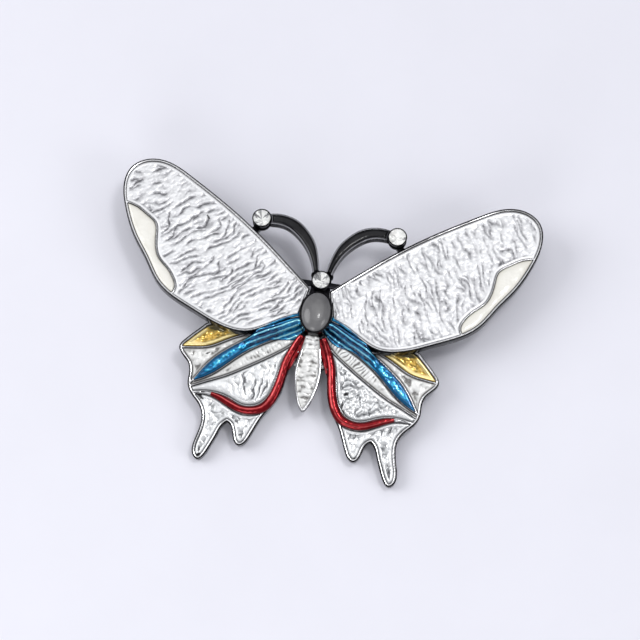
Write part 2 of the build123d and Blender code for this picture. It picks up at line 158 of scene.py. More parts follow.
def toOutline(points, starts, ends):
    # nearest point on the outline, the distance to it, and whether each point is inside:
    # a level line from an inside point crosses the outline an odd number of times
    nearest = np.empty_like(points)
    distance = np.empty(len(points))
    inside = np.empty(len(points), bool)
    along = ends - starts
    square = np.maximum((along**2).sum(1), 1e-12)
    for block in np.array_split(np.arange(len(points)), len(points) // 3000 + 1):
        offset = points[block, None, :] - starts
        t = np.clip((offset * along).sum(2) / square, 0, 1)
        foot = starts + t[..., None] * along
        gap = np.linalg.norm(points[block, None, :] - foot, axis=2)
        best = gap.argmin(1)
        rows = np.arange(len(block))
        nearest[block], distance[block] = foot[rows, best], gap[rows, best]
        px, py = points[block, 0][:, None], points[block, 1][:, None]
        crosses = (starts[:, 1] > py) != (ends[:, 1] > py)
        rise = np.where(along[:, 1] == 0, 1, along[:, 1])
        at = starts[:, 0] + (py - starts[:, 1]) * along[:, 0] / rise
        inside[block] = ((crosses & (px < at)).sum(1) % 2) == 1
    return nearest, distance, inside


def edgesOf(quads):
    return quads[:, [0, 1, 1, 2, 2, 3, 3, 0]].reshape(-1, 2)


def borderOf(quads):
    # edges that belong to one face only, in that face's own direction
    edges = edgesOf(quads)
    _, place, seen = np.unique(np.sort(edges, axis=1), axis=0, return_inverse=True,
                               return_counts=True)
    return edges[seen[place.ravel()] == 1]


def trimmedGrid(outline, step, grow):
    # a square grid cut to the outline, whose border is then pulled onto it, or beyond it by the
    # distance that grow gives at each place
    starts, ends = outline["starts"], outline["ends"]
    low = np.minimum(starts.min(0), ends.min(0)) - 1
    high = np.maximum(starts.max(0), ends.max(0)) + 1
    x, y = np.meshgrid(*(np.arange(low[k], high[k], step) for k in range(2)))
    points = np.column_stack([x.ravel(), y.ravel()])
    nearest, distance, inside = toOutline(points, starts, ends)
    depth = np.where(inside, distance, -distance) + grow(nearest)
    index = np.arange(x.size).reshape(x.shape)
    quads = np.stack([index[:-1, :-1], index[:-1, 1:], index[1:, 1:], index[1:, :-1]], -1)
    quads = quads.reshape(-1, 4)
    kept = quads[(depth[quads] > -0.45 * step).all(1)]

    def edgeNumber(edges):
        return np.sort(edges, axis=1) @ [x.size, 1]

    for _ in range(2):       # a face held by one side only would stick out as a tooth
        loose = np.isin(edgeNumber(edgesOf(kept)), edgeNumber(borderOf(kept))).reshape(-1, 4).sum(1)
        kept = kept[loose < 3]
    used, faces = np.unique(kept, return_inverse=True)
    faces = faces.reshape(-1, 4)
    points, nearest, depth, inside = points[used], nearest[used], depth[used], inside[used]
    rim = np.unique(borderOf(faces))
    out = nearest[rim] - points[rim]
    out = np.where(inside[rim, None], out, -out)
    out = out / np.maximum(np.linalg.norm(out, axis=1), 1e-6)[:, None]
    points[rim] = nearest[rim] + out * grow(nearest[rim])[:, None]
    depth[rim] = 0
    return points, faces, np.maximum(depth, 0)


def addObject(name, data):
    made = bpy.data.objects.new(name, data)
    bpy.context.scene.collection.objects.link(made)
    return made


def addMesh(name, points, faces, material, sharp, shades=None):
    # points in millimetres; edges that turn more than sharp degrees stay sharp; shades are
    # numbers kept on the corners for the material to read
    mesh = bpy.data.meshes.new(name)
    mesh.from_pydata((np.asarray(points) * mm).tolist(), [], [list(f) for f in faces])
    for key, values in (shades or {}).items():
        kept = mesh.attributes.new(key, "FLOAT", "POINT")
        kept.data.foreach_set("value", np.asarray(values, np.float32))
    mesh.polygons.foreach_set("use_smooth", np.ones(len(mesh.polygons), bool))
    mesh.set_sharp_from_angle(angle=math.radians(sharp))
    mesh.materials.append(material)
    return addObject(name, mesh)


def finishPiece(piece, slotName, *replaced, body="brooch"):
    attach(piece, body)
    if replaced:
        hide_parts(*replaced)
    return piece


def evenly(amount):
    # the same growth all round an outline
    return lambda places: np.full(len(places), amount)


def onPlane(plane, flat, level):
    # places drawn in a plane, at a level each, as points in space
    return (flat[..., :1] * plane["east"] + flat[..., 1:] * plane["north"]
            + level[..., None] * plane["up"])


def enamelMesh(name, surface, step, grow, floor):
    # the enamel of one cell: surface gives the height over the top plane from the place in the
    # plane and the distance to the edge; a flat underside and upright sides close it
    plane = flatTop(name)
    flat, faces, depth = trimmedGrid(plane, step, grow)
    height, shades = surface(flat[:, 0], flat[:, 1], depth)
    count = len(flat)
    level = np.concatenate([plane["level"] + height, np.full(count, plane["level"] - floor)])
    points = onPlane(plane, np.vstack([flat, flat]), level)
    rim = borderOf(faces)
    sides = np.column_stack([rim[:, 1], rim[:, 0], rim[:, 0] + count, rim[:, 1] + count])
    allFaces = np.vstack([faces, faces[:, ::-1] + count, sides])
    used, allFaces = np.unique(allFaces, return_inverse=True)
    shades = {key: np.tile(values, 2)[used] for key, values in shades.items()}
    return points[used], allFaces.reshape(-1, 4), shades


def enamelPiece(name, material, slotName, surface, step=0.1, grow=evenly(0.0), floor=0.5):
    points, faces, shades = enamelMesh(name, surface, step, grow, floor)
    piece = addMesh(name + "_relief", points, faces, material, 55, shades)
    return finishPiece(piece, slotName, name)


def nodeBox(name):
    # the middle of a node's box, its two half widths, its lowest and its highest level
    low, high = (np.array(corner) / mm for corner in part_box(name))
    middle, half = (low + high) / 2, (high - low) / 2
    return middle[:2], half[:2], low[2], high[2]


def wrapGrid(rows, columns):
    # four-sided faces over a grid that closes on itself both ways
    i, j = np.meshgrid(np.arange(rows), np.arange(columns), indexing="ij")
    nextI, nextJ = (i + 1) % rows, (j + 1) % columns
    corners = [i * columns + j, nextI * columns + j, nextI * columns + nextJ, i * columns + nextJ]
    return np.stack(corners, -1).reshape(-1, 4)


def carriedRound(profile, middle, half, turns):
    # a closed profile of (distance outwards, level) carried round an oval
    around = np.linspace(0, 2 * np.pi, turns, endpoint=False)
    cosine, sine = np.cos(around), np.sin(around)
    line = middle + np.column_stack([half[0] * cosine, half[1] * sine])
    outward = np.column_stack([half[1] * cosine, half[0] * sine])
    outward = outward / np.linalg.norm(outward, axis=1)[:, None]
    flat = line[:, None, :] + profile[None, :, :1] * outward[:, None, :]
    points = np.concatenate([flat, np.tile(profile[None, :, 1:], (turns, 1, 1))], -1)
    return points.reshape(-1, 3), wrapGrid(turns, len(profile))


def rolledLip(wall, top):
    # half a circle over the top of a wall whose outer face is the line the profile is carried on
    angle = np.linspace(0, np.pi, 7)
    return np.column_stack([np.cos(angle) - 1, np.sin(angle) - 1]) * wall / 2 + [0, top]


def smoothLine(points, count):
    # a smooth open line through given points: cubic pieces with Catmull-Rom slopes
    points = np.asarray(points, float)
    ends = np.vstack([2 * points[0] - points[1], points, 2 * points[-1] - points[-2]])
    t = np.linspace(0, len(points) - 1 - 1e-9, count)
    k = t.astype(int)
    f = (t - k)[:, None]
    p0, p1, p2, p3 = (ends[k + n] for n in range(4))
    return 0.5 * (2 * p1 + (p2 - p0) * f + (2 * p0 - 5 * p1 + 4 * p2 - p3) * f**2
                  + (3 * p1 - p0 - 3 * p2 + p3) * f**3)


castLook = {"merge": 1e-6, "flat": 0.5, "segments": 3, "angle": 30.0}


def castPiece(name, material, slotName, bevel, body="brooch"):
    # a cast or pressed part: its CAD mesh is copied, joined up, its flat faces made whole, and
    # its edges rounded
    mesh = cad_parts[name].data.copy()
    mesh.name = name + "_cast"
    shape = bmesh.new()
    shape.from_mesh(mesh)
    bmesh.ops.remove_doubles(shape, verts=shape.verts, dist=castLook["merge"])
    bmesh.ops.dissolve_limit(shape, angle_limit=math.radians(castLook["flat"]), verts=shape.verts,
                             edges=shape.edges)
    shape.to_mesh(mesh)
    shape.free()
    mesh.polygons.foreach_set("use_smooth", np.ones(len(mesh.polygons), bool))
    mesh.materials.clear()
    mesh.materials.append(material)
    piece = addObject(mesh.name, mesh)
    rounding = piece.modifiers.new("roundedEdges", "BEVEL")
    rounding.width = bevel * mm
    rounding.segments = castLook["segments"]
    rounding.limit_method = "ANGLE"
    rounding.angle_limit = math.radians(castLook["angle"])
    rounding.use_clamp_overlap = True
    rounding.harden_normals = True
    return finishPiece(piece, slotName, name, body=body)


class Wire:
    # a node's output that sums can be written on
    def __init__(self, tree, socket=None):
        self.tree, self.socket = tree, socket

    def node(self, kind, settings=None, links=None, out=0):
        made = self.tree.nodes.new(kind)
        for key, value in (settings or {}).items():
            if key == "stops":
                ramp = made.color_ramp
                while len(ramp.elements) > 1:
                    ramp.elements.remove(ramp.elements[-1])
                ramp.elements[0].position = value[0][0]
                ramp.elements[0].color = (*value[0][1], 1)
                for place, colour in value[1:]:
                    ramp.elements.new(place).color = (*colour, 1)
            else:
                setattr(made, key, value)
        for key, value in (links or {}).items():
            if isinstance(value, Wire):
                self.tree.links.new(value.socket, made.inputs[key])
            else:
                made.inputs[key].default_value = value
        return Wire(self.tree, made.outputs[out])

    def maths(self, operation, *values):
        return self.node("ShaderNodeMath", {"operation": operation}, dict(enumerate(values)))

    def axis(self, number):
        return self.node("ShaderNodeSeparateXYZ", {}, {0: self}, out=number)

    def attribute(self, name):
        # a number kept on the mesh
        return self.node("ShaderNodeAttribute", {"attribute_name": name}, out=2)

    def __add__(self, other):
        return self.maths("ADD", self, other)

    def __sub__(self, other):
        return self.maths("SUBTRACT", self, other)

    def __rsub__(self, other):
        return self.maths("SUBTRACT", other, self)

    def __mul__(self, other):
        return self.maths("MULTIPLY", self, other)

    __radd__, __rmul__ = __add__, __mul__

    def between(self, low, high):
        # 0 at low, 1 at high, smooth between
        return self.node("ShaderNodeMapRange", {"interpolation_type": "SMOOTHSTEP"},
                         {"Value": self, "From Min": low, "From Max": high})

    def noise(self, scale, detail=2.0, roughness=0.5, distortion=0.0):
        return self.node("ShaderNodeTexNoise", {}, {
            "Vector": self, "Scale": scale, "Detail": detail, "Roughness": roughness,
            "Distortion": distortion})

    def cells(self, scale):
        return self.node("ShaderNodeTexVoronoi", {}, {"Vector": self, "Scale": scale})

    def colours(self, stops):
        return self.node("ShaderNodeValToRGB", {"stops": stops}, {"Fac": self})

    def blend(self, first, second):
        # this number says how much of the second colour shows over the first
        return self.node("ShaderNodeMix", {"data_type": "RGBA"}, {
            0: self, 6: first if isinstance(first, Wire) else (*first, 1),
            7: second if isinstance(second, Wire) else (*second, 1)}, out=2)


def newMaterial(name, **fixed):
    # a Principled shader; numbers that are the same all over are set on its own sockets
    material = bpy.data.materials.new(name)
    material.use_nodes = True
    tree = material.node_tree
    shader = next(n for n in tree.nodes if n.type == "BSDF_PRINCIPLED")
    for key, value in fixed.items():
        shader.inputs[key.replace("_", " ")].default_value = value
    start = Wire(tree)
    place = start.node("ShaderNodeTexCoord", out=3)
    return material, shader, start, place


def connect(material, shader, **wires):
    for key, wire in wires.items():
        material.node_tree.links.new(wire.socket, shader.inputs[key.replace("_", " ")])
    return material


def bumped(start, height, strength, distance):
    return start.node("ShaderNodeBump", {}, {"Height": height, "Strength": strength,
                                             "Distance": distance * mm})


# the pale colour is a painted highlight; the three numbers after it place the painted shade on the
# right wing's front edge
platingLook = {
    "deep": (0.003, 0.003, 0.004), "face": (0.013, 0.013, 0.015), "worn": (0.16, 0.155, 0.155),
    "paintedHighlight": (0.90, 0.90, 0.92), "smudge": 260.0, "grain": 2600.0, "level": (0.975, 0.996),
    "unlitLean": 0.42, "unlitFrom": (3.2, 4.4), "unlitOut": (6.0, 9.0),
}


def platingMaterial(name, look, above=0.0, before=99.0, tilt=0.0, paint=None, marked=False):
    # gunmetal: near black, with smudges and a fine cast grain. A highlight is painted on in a pale
    # colour where the mesh is marked, or else on tops that face up, above one level and before one
    # line across the brooch; tilt is how far those tops lean towards the tail. A patch of painted
    # shade takes that highlight off the right wing's front edge, which is turned from the light:
    # the smudges and a slower noise added up and cut off
    material, shader, start, place = newMaterial(name, Metallic=1.0, Specular_IOR_Level=0.5)
    smudge = place.noise(look["smudge"], 4, 0.6)
    grain = place.noise(look["grain"], 3, 0.6)
    worn = place.noise(900.0, 5, 0.7).between(0.56, 0.75)
    colour = smudge.colours([(0.30, look["deep"]), (0.62, look["face"])])
    colour = (worn * 0.25).blend(colour, look["worn"])
    x, y, z = (place.axis(k) for k in range(3))
    # painted shade: a patch on the right wing's front edge, turned from the light, where the
    # painted highlight is taken off
    unlitEdge = (y - x * look["unlitLean"]).between(*(c * mm for c in look["unlitFrom"]))
    unlitEdge = unlitEdge * x.between(*(c * mm for c in look["unlitOut"]))
    unlitEdge = unlitEdge * (smudge * 0.8 + place.noise(95.0, 2) * 0.9).between(0.55, 0.95)
    # where the highlight is painted: on the marked mesh, or on tops that face up
    if marked:
        top = start.attribute("shine")
    else:
        lean = math.radians(tilt)
        facing = start.node("ShaderNodeNewGeometry", out=1)
        upwards = start.node("ShaderNodeVectorMath", {"operation": "DOT_PRODUCT"}, {
            0: facing, 1: (0.0, -math.sin(lean), math.cos(lean))}, out=1)
        top = upwards.between(*look["level"]) * z.between((above - 0.05) * mm, above * mm)
        top = top * y.between((before + 0.1) * mm, before * mm)
    top = top * (0.62 + smudge * 0.5) * (1 - unlitEdge * 0.9)
    # the painted highlight, broken by the smudges and taken off by the painted shade
    colour = top.blend(colour, look["paintedHighlight"])
    metal = None
    if paint:
        colour, metal = paint(place, colour)
    connect(material, shader, Base_Color=colour, Roughness=0.14 + smudge * 0.14 + worn * 0.12,
            Normal=bumped(start, grain, 0.20, 0.02))
    if metal:
        connect(material, shader, Metallic=metal)
    return material


splashLook = {"lean": 0.56, "edge": 2.2, "soft": 0.2, "reach": 6.2, "fade": 0.6, "wander": 0.5,
              "deep": (0.002, 0.055, 0.15), "bright": (0.02, 0.30, 0.55)}


def splashPaint(look):
    # blue enamel laid over the rim where the wing meets the body: below a leaning line and near
    # the middle, both borders pushed about by noise
    def paint(place, colour):
        across = place.axis(0).maths("ABSOLUTE", place.axis(0))
        wander = (place.noise(520.0, 2) - 0.5) * (look["wander"] * mm)
        below = (place.axis(1) + across * look["lean"] + wander).between(
            (look["edge"] + look["soft"]) * mm, (look["edge"] - look["soft"]) * mm)
        near = (across + wander).between(
            (look["reach"] + look["fade"]) * mm, (look["reach"] - look["fade"]) * mm)
        painted = below * near
        blue = place.noise(1300.0, 3).colours([(0.35, look["deep"]), (0.7, look["bright"])])
        return painted.blend(colour, blue), 1 - painted * 0.35
    return paint


pearlLook = {"valley": (0.12, 0.12, 0.13), "slope": (0.48, 0.48, 0.50),
             "crest": (0.79, 0.795, 0.81)}
bareMetal = (0.010, 0.010, 0.012)


def pearlMaterial(name, look, coat, rough, metal, glints):
    # pearl paint: painted shade in the hollows and a painted highlight on the crests, read from the
    # relief, with tiny flakes painted near white as glints under a clear coat, and dark metal where
    # it has flaked off
    material, shader, start, place = newMaterial(name, Coat_Roughness=0.08, Coat_Weight=coat)
    relief = start.attribute("relief")
    chip = start.attribute("chip")
    cloud = place.noise(420.0, 3, 0.6)
    shade = relief + (cloud - 0.5) * 0.25
    # painted shade in the valleys, painted highlight on the crests
    colour = shade.colours([(0.10, look["valley"]), (0.38, look["slope"]), (0.72, look["crest"])])
    # the flakes are painted near white as glints
    glint = place.cells(4300.0).between(0.36, 0.05) * glints
    colour = chip.blend(glint.blend(colour, (0.95, 0.95, 0.97)), bareMetal)
    return connect(material, shader, Base_Color=colour, Metallic=metal + glint * 0.3,
                   Roughness=rough + cloud * 0.14,
                   Normal=bumped(start, place.noise(2600.0, 3, 0.7), 0.08, 0.03))


silvered = (0.78, 0.78, 0.80)


def paintMaterial(name, stops, metal, rough, coat, flakes, glints, shine=0.5):
    # clear coloured enamel over textured metal: the colour follows the relief, deeper where the
    # enamel lies thick, and the relief also carries painted shade and painted highlight lines;
    # flakes on the heights are painted bright as glints; silver where the mesh says so
    material, shader, start, place = newMaterial(name, Coat_Roughness=0.03, Coat_Weight=coat,
                                                 Specular_IOR_Level=shine)
    relief = start.attribute("relief")
    cloud = place.noise(700.0, 4, 0.65)
    shade = relief + (cloud - 0.5) * 0.30
    # the relief's painted shade and painted highlight lines become colour here
    colour = shade.colours(stops)
    # flakes on the heights painted bright as glints
    glint = place.cells(3400.0).between(0.40, 0.08) * relief.between(0.45, 0.9) * glints
    silver = start.attribute("silver")
    colour = silver.blend(glint.blend(colour, flakes), silvered)
    return connect(material, shader, Base_Color=colour, Metallic=metal + glint * 0.2,
                   Roughness=rough + cloud * 0.08,
                   Normal=bumped(start, place.noise(1500.0, 3, 0.6), 0.12, 0.05))


def ivoryMaterial():
    # cream enamel, glossy, with faint cloudy mottling, and painted shade where its pillow falls to
    # the edge
    material, shader, start, place = newMaterial(
        "ivoryEnamel", Coat_Roughness=0.04, Coat_Weight=0.6)
    cloud = place.noise(380.0, 4, 0.6)
    relief = start.attribute("relief")
    # painted shade where the pillow falls to the edge, from the relief
    colour = (relief * 0.6 + cloud * 0.4).colours(
        [(0.18, (0.46, 0.44, 0.37)), (0.42, (0.72, 0.70, 0.63)), (0.75, (0.84, 0.825, 0.77))])
    speck = place.noise(2400.0, 2).between(0.68, 0.76) * 0.25
    return connect(material, shader, Base_Color=speck.blend(colour, (0.55, 0.50, 0.40)),
                   Roughness=0.18 + cloud * 0.12,
                   Normal=bumped(start, place.noise(900.0, 3), 0.18, 0.05))


def blackMaterial():
    # black enamel: nearly even, with a faint dust of paler specks
    material, shader, start, place = newMaterial(
        "blackEnamel", Coat_Roughness=0.02, Coat_Weight=0.16, Specular_IOR_Level=0.14)
    cloud = place.noise(600.0, 3)
    speck = place.noise(4200.0, 2).between(0.68, 0.78) * 0.3
    colour = cloud.colours([(0.3, (0.004, 0.004, 0.005)), (0.7, (0.014, 0.014, 0.016))])
    return connect(material, shader, Base_Color=speck.blend(colour, (0.10, 0.10, 0.11)),
                   Roughness=0.10 + cloud * 0.10, Normal=bumped(start, cloud, 0.10, 0.05))


def cabochonMaterial():
    # grey hard stone with faint layers and clouds
    material, shader, start, place = newMaterial(
        "greyCabochon", Coat_Roughness=0.08, Coat_Weight=0.5, Specular_IOR_Level=0.45)
    cloud = place.noise(330.0, 4, 0.55, 0.4)
    fine = place.noise(1800.0, 3, 0.6)
    colour = (cloud * 0.8 + fine * 0.2).colours(
        [(0.34, (0.115, 0.114, 0.118)), (0.55, (0.150, 0.149, 0.152)),
         (0.72, (0.185, 0.183, 0.184))])
    return connect(material, shader, Base_Color=colour, Roughness=0.30 + cloud * 0.12,
                   Normal=bumped(start, fine, 0.05, 0.02))


def crystalMaterial():
    # clear cut glass
    material, shader, start, place = newMaterial(
        "crystalGlass", Transmission_Weight=0.85, IOR=1.56, Metallic=0.0)
    cloud = place.noise(1500.0, 2)
    colour = cloud.colours([(0.3, (0.93, 0.95, 0.97)), (0.7, (1.0, 1.0, 1.0))])
    return connect(material, shader, Base_Color=colour, Roughness=0.01 + cloud * 0.02)


def foilMaterial():
    # the silvered back of a stone: each cut face gets its own painted brightness as a painted
    # reflection, with a painted glow standing in for light through the glass
    material, shader, start, place = newMaterial("stoneFoil", Metallic=0.35, Emission_Strength=0.24)
    facet = start.attribute("facet")
    cloud = place.noise(2600.0, 2)
    colour = facet.colours([(0.0, (0.03, 0.03, 0.04)), (0.28, (0.30, 0.30, 0.30)),
                            (0.42, (0.90, 0.89, 0.86)), (0.7, (1.0, 1.0, 0.98))])
    # painted reflections and a painted glow
    return connect(material, shader, Base_Color=colour, Emission_Color=colour,
                   Roughness=0.06 + cloud * 0.10)


def fittingMaterial(name, stops, rough, stretch):
    # plated or drawn metal with fine lines, drawn out along one axis by the stretch
    material, shader, start, place = newMaterial(name, Metallic=1.0)
    lines = place.node("ShaderNodeMapping", {}, {"Vector": place, "Scale": stretch})
    lines = lines.noise(2200.0, 4, 0.65)
    cloud = place.noise(300.0, 4, 0.6)
    return connect(material, shader, Base_Color=(cloud * 0.6 + lines * 0.4).colours(stops),
                   Roughness=rough + cloud * 0.12 + lines * 0.10,
                   Normal=bumped(start, lines, 0.18, 0.02))


# painted highlights: the rims' follows the marked mesh; the arms get a dim one, the body one on
# tops leaning to the tail, and the dark plating none, its level never reached
rimPlating = {
    "forewing": platingMaterial("gunmetalForeRims", platingLook, paint=splashPaint(splashLook),
                                marked=True),
    "hindwing": platingMaterial("gunmetalHindRims", platingLook, marked=True)}
armLook = {**platingLook, "paintedHighlight": (0.22, 0.22, 0.24)}
armPlating = platingMaterial("gunmetalPlatingArms", armLook, above=6.8)
bodyPlating = platingMaterial("gunmetalPlatingBody", platingLook, before=-2.5, tilt=9.456)
darkPlating = platingMaterial("gunmetalPlatingDark", platingLook, above=99.0)
pearl = pearlMaterial("pearlSilverEnamel", pearlLook,
                      coat=0.18, rough=0.30, metal=0.45, glints=0.14)
whitePearl = pearlMaterial("whitePearlEnamel", {
    "valley": (0.16, 0.155, 0.15), "slope": (0.62, 0.62, 0.61), "crest": (0.80, 0.80, 0.79)},
    coat=0.35, rough=0.24, metal=0.2, glints=0.05)
greyPearl = pearlMaterial("greyPearlEnamel", {
    "valley": (0.07, 0.07, 0.08), "slope": (0.42, 0.43, 0.44), "crest": (0.82, 0.83, 0.84)},
    coat=0.3, rough=0.20, metal=0.5, glints=0.08)
gold = paintMaterial("goldEnamel", [
    (0.08, (0.10, 0.08, 0.03)), (0.28, (0.33, 0.24, 0.06)), (0.52, (0.66, 0.40, 0.055)),
    (0.82, (0.93, 0.76, 0.34))],
    metal=0.65, rough=0.16, coat=0.7, flakes=(1.0, 0.94, 0.7), glints=0.30)
blue = paintMaterial("blueEnamel", [
    (0.05, (0.001, 0.010, 0.035)), (0.30, (0.001, 0.055, 0.15)), (0.55, (0.008, 0.20, 0.45)),
    (0.78, (0.030, 0.46, 0.76)), (0.95, (0.40, 0.85, 0.95))],
    metal=0.6, rough=0.09, coat=0.4, flakes=(0.6, 0.95, 1.0), glints=0.30)
red = paintMaterial("redEnamel", [
    (0.05, (0.020, 0.001, 0.002)), (0.35, (0.13, 0.003, 0.006)), (0.62, (0.27, 0.006, 0.010)),
    (0.95, (0.66, 0.12, 0.12))],
    metal=0.62, rough=0.12, coat=0.10, flakes=(1.0, 0.6, 0.55), glints=0.0, shine=0.25)
ivory = ivoryMaterial()
black = blackMaterial()
stoneGrey = cabochonMaterial()
crystal = crystalMaterial()
foil = foilMaterial()
nickel = fittingMaterial("brushedNickel", [
    (0.3, (0.25, 0.25, 0.26)), (0.5, (0.42, 0.42, 0.43)), (0.7, (0.55, 0.55, 0.55))],
    rough=0.22, stretch=(1, 6, 1))
steel = fittingMaterial("drawnSteel", [
    (0.3, (0.42, 0.42, 0.44)), (0.5, (0.58, 0.58, 0.59)), (0.7, (0.68, 0.68, 0.68))],
    rough=0.14, stretch=(0.2, 4, 4))
print("materials made:", len(bpy.data.materials))

castings = {
    "forewing_left": (darkPlating, 0.08), "forewing_right": (darkPlating, 0.08),
    "hindwing_left": (darkPlating, 0.08), "hindwing_right": (darkPlating, 0.08),
    "body_casting": (bodyPlating, 0.10), "wing_bridge": (bodyPlating, 0.08),
    "antenna_left": (armPlating, 0.08), "antenna_right": (armPlating, 0.08),
}
for name, (material, bevel) in castings.items():
    castPiece(name, material, "dark_plating", bevel)

# dark, line and wall place the painted highlight on the rims: the width of the black band left
# unpainted outside, how fast the line comes in from the edge, and where it weakens between the
# cells
rimLook = {"step": 0.085, "lift": 0.02, "crown": 0.06, "round": 0.20, "floor": 0.02,
           "dark": 0.21, "line": 0.07, "wall": 0.60, "clear": 0.04}
wingCells = {"forewing": ("silver_enamel", "ivory_inlay"),
             "hindwing": ("gold_leaf", "upper_cell", "blue_leaf", "pale_leaf", "silver_fan",
                          "tail_enamel", "red_vein")}


def rimPiece(name, cells, material):
    # the raised edge round a wing and between its cells: rounded in section, half a parabola up
    # from each side. Its outer part stays black and the rest carries a painted highlight line,
    # weaker between the cells
    look = rimLook
    plane = flatTop(name)
    middle = (plane["starts"] + plane["ends"]) / 2
    outer = np.ones(len(middle), bool)
    for cell in cells:
        inner = flatTop(f"{name}_{cell}")
        outer &= toOutline(middle, inner["starts"], inner["ends"])[1] > look["clear"]

    def surface(x, y, depth):
        places = np.column_stack([x, y])
        away = toOutline(places, plane["starts"][outer], plane["ends"][outer])[1]
        rise = 1 - (1 - np.clip(depth / look["round"], 0, 1)) ** 2
        # shine marks where the highlight is painted on the rim's crown
        shine = ease(look["dark"] - 0.05, look["dark"] + 0.04, away)
        shine = shine * ease(0.2, 1.2, depth / look["line"])
        shine = shine * (1 - 0.45 * ease(look["wall"], look["wall"] + 0.3, away))
        return look["lift"] + look["crown"] * rise, {"shine": shine}

    points, faces, shades = enamelMesh(name, surface, look["step"], evenly(-0.01), look["floor"])
    finishPiece(addMesh(name + "_rim", points, faces, material, 50, shades), "dark_plating", name)


for side in ("left", "right"):
    for wing, cells in wingCells.items():
        rimPiece(f"{wing}_{side}", cells, rimPlating[wing])

fittings = {
    "back_bar": (nickel, 0.18, "brooch", "fitting_metal"),
    "pin_hinge_bracket": (nickel, 0.12, "brooch", "fitting_metal"),
    "pin_hinge_rivet": (steel, 0.10, "brooch", "fitting_metal"),
    "catch_barrel": (nickel, 0.10, "brooch", "fitting_metal"),
    "catch_lock": (steel, 0.08, "lock", "fitting_metal"),
    "pin_stem": (steel, 0.06, "pin", "pin_steel"),
}
for name, (material, bevel, body, slotName) in fittings.items():
    castPiece(name, material, slotName, bevel, body=body)
print("castings and fittings rounded")

barkLook = {
    "left": {"ridge": 34.0, "seed": 11, "fine": 0.62, "coarse": 1.30, "deep": 1.15,
             "chips": [(-16.98, 12.94, -50, 0.75, 0.26)]},
    "right": {"ridge": 110.0, "seed": 57, "fine": 0.62, "coarse": 1.15, "deep": 0.9, "chips": []},
    "height": 0.17, "base": -0.11, "span": 30.0, "border": 0.52,
}


def barkSurface(side):
    # creases across the wing, |sin|^0.55, between broad backs. Their spacing grows with the
    # distance from the root, so the phase is a logarithm; noise drawn out along them bends and
    # breaks them, a second family a few degrees off joins them, and fine crumbs lie over all
    look = barkLook[side]
    growth = (look["coarse"] / look["fine"] - 1) / barkLook["span"]

    def surface(x, y, depth):
        seed = look["seed"]
        along, across = turned(x, y, look["ridge"])
        out = np.abs(across)
        bend = 0.80 * softNoise(along * 0.17, across * 0.22, seed)
        bend = bend + 0.40 * softNoise(along * 0.42, across * 0.50, seed + 3)
        bend = bend * (0.7 + 0.025 * out) + 0.16 * softNoise(along * 1.0, across * 1.3, seed + 5)
        phase = np.log1p(growth * (out + bend)) / (growth * look["fine"])
        first = ridges(phase, 0.55)
        _, acrossOff = turned(x, y, look["ridge"] + 24)
        phaseOff = np.log1p(growth * (np.abs(acrossOff) + 1.4 * bend)) / (growth * look["fine"])
        second = ridges(phaseOff * 0.8, 0.6)
        opens = ease(-0.02, 0.35, softNoise(x * 0.30, y * 0.30, seed + 7))
        cut = ease(-0.42, 0.30, softNoise(along * 0.38, across * 0.9, seed + 9))
        crease = look["deep"] * np.maximum(cut * (1 - first), opens * (1 - second))
        crumb = softNoise(along * 1.7, across * 2.3, seed + 13)
        crumb = crumb + 0.6 * softNoise(x * 3.9, y * 3.9, seed + 15)
        swell = 0.16 * softNoise(along * 0.5, across * 0.9, seed + 17)
        bead, tone = meniscus(depth)
        inner = ease(barkLook["border"] - 0.15, barkLook["border"] + 0.1, depth)
        relief = 0.86 + inner * (swell + 0.22 * crumb - 0.95 * crease)
        chip = chipShade(x, y, look["chips"])
        height = barkLook["base"] + barkLook["height"] * relief + bead - 0.05 * chip
        # the same relief also sets the colour: painted shade in the creases and painted light on
        # the backs, with the edge's painted highlight and shade
        return height, {"relief": np.clip(0.10 + 0.70 * relief + tone, 0, 1), "chip": chip}
    return surface


inlayLook = {"crown": 0.30, "edge": -0.05, "reach": 1.3}


def inlaySurface(x, y, depth):
    # a pillow: a quarter circle up from the edge, then almost level, with a slow wobble
    rise = pillow(depth, inlayLook["reach"])
    wobble = 0.035 * softNoise(x * 0.7, y * 0.7, 31) + 0.012 * softNoise(x * 2.4, y * 2.4, 33)
    height = inlayLook["edge"] + inlayLook["crown"] * rise * (0.9 + wobble) + wobble * rise
    # the relief for the colour is painted shade where the pillow falls to the edge
    return height, {"relief": np.clip(0.25 + 0.6 * rise + 3 * wobble, 0, 1)}


def foreGrow(places):
    # the enamel laps a little over the rim, and almost right over it beside the cabochon
    return 0.06 + 0.43 * ease(4.4, 3.4, np.abs(places[:, 0]))


for side in ("left", "right"):
    enamelPiece(f"forewing_{side}_silver_enamel", pearl, "pearl_silver_enamel", barkSurface(side),
                grow=foreGrow)
    enamelPiece(f"forewing_{side}_ivory_inlay", ivory, "ivory_enamel", inlaySurface)
print("forewing enamel made")

rootPlane = flatTop("hindwing_right_blue_leaf")
# the cabochon's centre, as far up the sloped hindwings as they are drawn flat
flatCentre = float(np.array([0, 0.0, 4.95]) @ rootPlane["north"]) + 1.0


def planeY(y):
    # places up and down the sloped wing, measured from the cabochon's centre
    return y - flatCentre


